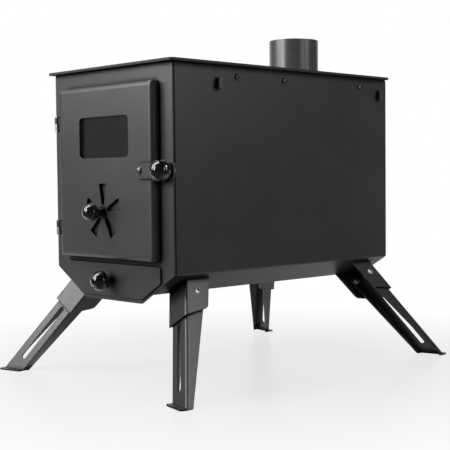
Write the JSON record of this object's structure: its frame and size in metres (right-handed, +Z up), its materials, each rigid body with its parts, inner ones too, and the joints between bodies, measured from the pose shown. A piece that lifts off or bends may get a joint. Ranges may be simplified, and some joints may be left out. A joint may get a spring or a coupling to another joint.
{
  "type": "tent wood stove",
  "caption": "Small sheet-steel box stove for tents with a windowed door, turning air control, ash drawer, flue collar and folding splayed legs.",
  "frame": {"origin": "on the floor, under the middle of the feet", "axes": "+X to the right seen from the door, the door faces -Y, +Z up"},
  "size_m": [0.3678, 0.5004, 0.4463],
  "materials": {
    "black_paint": "matte heat-resistant coating",
    "plate_paint": "matte heat-resistant coating",
    "bare_steel": "bright zinc-plated",
    "dark_steel": "blackened",
    "inner_steel": "heat-tinted mill finish",
    "knob_black": "polished phenolic",
    "rope_seal": "woven fibre rope",
    "window_glass": "ceramic glass",
    "cast_grate": "raw"
  },
  "bodies": {
    "firebox": {"body_shell": "black_paint", "front_panel": "black_paint", "rear_panel": "black_paint", "top_plate": "plate_paint", "flue_collar": "black_paint", "collar_weld": "black_paint", "top_rails": "black_paint", "side_bolts": "dark_steel", "side_nuts": "dark_steel", "side_hooks": "black_paint", "fire_grate": "cast_grate", "grate_ledges": "inner_steel", "baffle_plate": "inner_steel", "baffle_ledges": "inner_steel", "drawer_guides": "inner_steel", "body_hinge_leaves": "bare_steel", "hinge_pins": "bare_steel", "latch_keeper": "black_paint", "leg_pivot_bolts": "bare_steel", "leg_pivot_nuts": "bare_steel", "leg_bracket_front_right": "black_paint", "leg_bracket_front_left": "black_paint", "leg_bracket_rear_right": "black_paint", "leg_bracket_rear_left": "black_paint"},
    "door": {"door_pan": "black_paint", "door_seal": "rope_seal", "window_glass": "window_glass", "window_seal": "rope_seal", "window_frame": "black_paint", "window_screws": "bare_steel", "door_hinge_leaves": "bare_steel", "latch_pivot_bolt": "bare_steel", "latch_nut": "bare_steel"},
    "air_control": {"air_disc": "inner_steel", "air_washer": "bare_steel", "air_stem": "bare_steel", "air_nut": "bare_steel", "air_knob": "knob_black"},
    "latch": {"latch_bar": "black_paint", "latch_stud": "bare_steel", "latch_knob": "knob_black"},
    "drawer": {"ash_tray": "inner_steel", "drawer_front": "black_paint", "drawer_stud": "bare_steel", "drawer_knob": "knob_black"},
    "leg_front_right": {"leg_front_right": "black_paint"},
    "leg_front_left": {"leg_front_left": "black_paint"},
    "leg_rear_right": {"leg_rear_right": "black_paint"},
    "leg_rear_left": {"leg_rear_left": "black_paint"}
  },
  "joints": [
    {"name": "door_hinge", "type": "hinge", "parent": "firebox", "child": "door", "pos_m": [-0.098, -0.209, 0.2597], "axis": [0, 0, -1], "range_deg": [0, 125]},
    {"name": "latch_lift", "type": "hinge", "parent": "door", "child": "latch", "pos_m": [0.0726, -0.213, 0.2603], "axis": [0, -1, 0], "range_deg": [0, 60]},
    {"name": "air_turn", "type": "hinge", "parent": "door", "child": "air_control", "pos_m": [-0.0025, -0.211, 0.2113], "axis": [0, -1, 0], "range_deg": [-36, 0]},
    {"name": "drawer_slide", "type": "slide", "parent": "firebox", "child": "drawer", "axis": [0, -1, 0], "range_m": [0, 0.3]},
    {"name": "leg_fold_front_right", "type": "hinge", "parent": "firebox", "child": "leg_front_right", "pos_m": [0.09907, -0.1635, 0.10938], "axis": [0.8526, 0, 0.5225], "range_deg": [0, 114]},
    {"name": "leg_fold_front_left", "type": "hinge", "parent": "firebox", "child": "leg_front_left", "pos_m": [-0.09907, -0.1635, 0.10938], "axis": [0.8526, 0, -0.5225], "range_deg": [0, 114]},
    {"name": "leg_fold_rear_right", "type": "hinge", "parent": "firebox", "child": "leg_rear_right", "pos_m": [0.09907, 0.1635, 0.10938], "axis": [-0.8526, 0, -0.5225], "range_deg": [0, 114]},
    {"name": "leg_fold_rear_left", "type": "hinge", "parent": "firebox", "child": "leg_rear_left", "pos_m": [-0.09907, 0.1635, 0.10938], "axis": [-0.8526, 0, 0.5225], "range_deg": [0, 114]}
  ]
}
